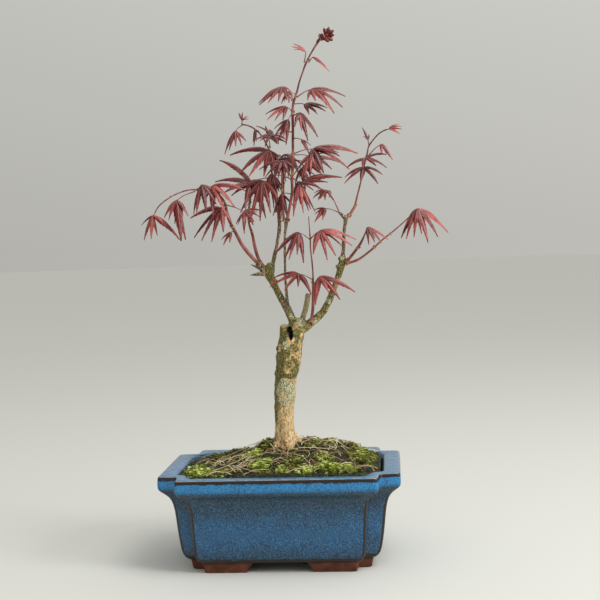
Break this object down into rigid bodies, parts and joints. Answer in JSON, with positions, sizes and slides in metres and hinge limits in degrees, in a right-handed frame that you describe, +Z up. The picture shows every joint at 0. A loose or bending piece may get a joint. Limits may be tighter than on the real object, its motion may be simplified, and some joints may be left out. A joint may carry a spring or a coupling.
{
  "type": "potted maple bonsai",
  "caption": "Young palmate-leaved maple grown as a bonsai, with a stout trunk forking into thin red shoots, in a rectangular glazed pot with stepped corners, soil and moss.",
  "frame": {"origin": "centre of the whole plant's footprint (its bounding box seen from above), at the bottom of the pot's feet", "axes": "+X to the right seen from the front, +Y from the front to the back, +Z up along the trunk. The pot's own centre lies 18.5 mm to the left of the origin (X -18.5 mm), because the foliage reaches further to the right"},
  "size_m": [0.2636, 0.1506, 0.4626],
  "materials": {
    "blue_glaze": "blue speckled gloss glaze, bare red-brown clay on the feet",
    "black_plastic_mesh": "moulded matt plastic netting",
    "bonsai_soil": "damp granular soil",
    "cushion_moss": "low matt moss",
    "maple_bark": "old bark with lichen and algae",
    "young_red_bark": "smooth satin red young bark",
    "red_maple_leaf": "thin soft satin leaf"
  },
  "bodies": {
    "root": {"pot": "blue_glaze", "drainage_mesh_left": "black_plastic_mesh", "drainage_mesh_right": "black_plastic_mesh", "soil": "bonsai_soil", "moss_front_left": "cushion_moss", "moss_back_left": "cushion_moss", "moss_front_middle": "cushion_moss", "moss_front_right": "cushion_moss", "moss_right": "cushion_moss", "trunk": "maple_bark", "shoot_left_outer": "young_red_bark", "shoot_left_inner": "young_red_bark", "shoot_left_arching": "young_red_bark", "shoot_back": "young_red_bark", "leader_shoot": "young_red_bark", "shoot_centre": "young_red_bark", "shoot_right": "young_red_bark", "shoot_right_low": "young_red_bark", "shoot_right_long": "young_red_bark", "shoot_middle": "young_red_bark", "terminal_bud": "red_maple_leaf", "leaf_01": "red_maple_leaf", "leaf_02": "red_maple_leaf", "leaf_03": "red_maple_leaf", "leaf_04": "red_maple_leaf", "leaf_05": "red_maple_leaf", "leaf_06": "red_maple_leaf", "leaf_07": "red_maple_leaf", "leaf_08": "red_maple_leaf", "leaf_09": "red_maple_leaf", "leaf_10": "red_maple_leaf", "leaf_11": "red_maple_leaf", "leaf_12": "red_maple_leaf", "leaf_13": "red_maple_leaf", "leaf_14": "red_maple_leaf", "leaf_15": "red_maple_leaf", "leaf_16": "red_maple_leaf", "leaf_17": "red_maple_leaf", "leaf_18": "red_maple_leaf", "leaf_19": "red_maple_leaf", "leaf_20": "red_maple_leaf", "leaf_21": "red_maple_leaf", "leaf_22": "red_maple_leaf", "leaf_23": "red_maple_leaf", "leaf_24": "red_maple_leaf", "leaf_25": "red_maple_leaf", "leaf_26": "red_maple_leaf", "leaf_27": "red_maple_leaf", "leaf_28": "red_maple_leaf", "leaf_29": "red_maple_leaf", "leaf_30": "red_maple_leaf", "leaf_31": "red_maple_leaf", "leaf_32": "red_maple_leaf", "leaf_33": "red_maple_leaf", "leaf_34": "red_maple_leaf", "leaf_35": "red_maple_leaf", "leaf_36": "red_maple_leaf", "leaf_37": "red_maple_leaf", "leaf_38": "red_maple_leaf"}
  },
  "joints": []
}
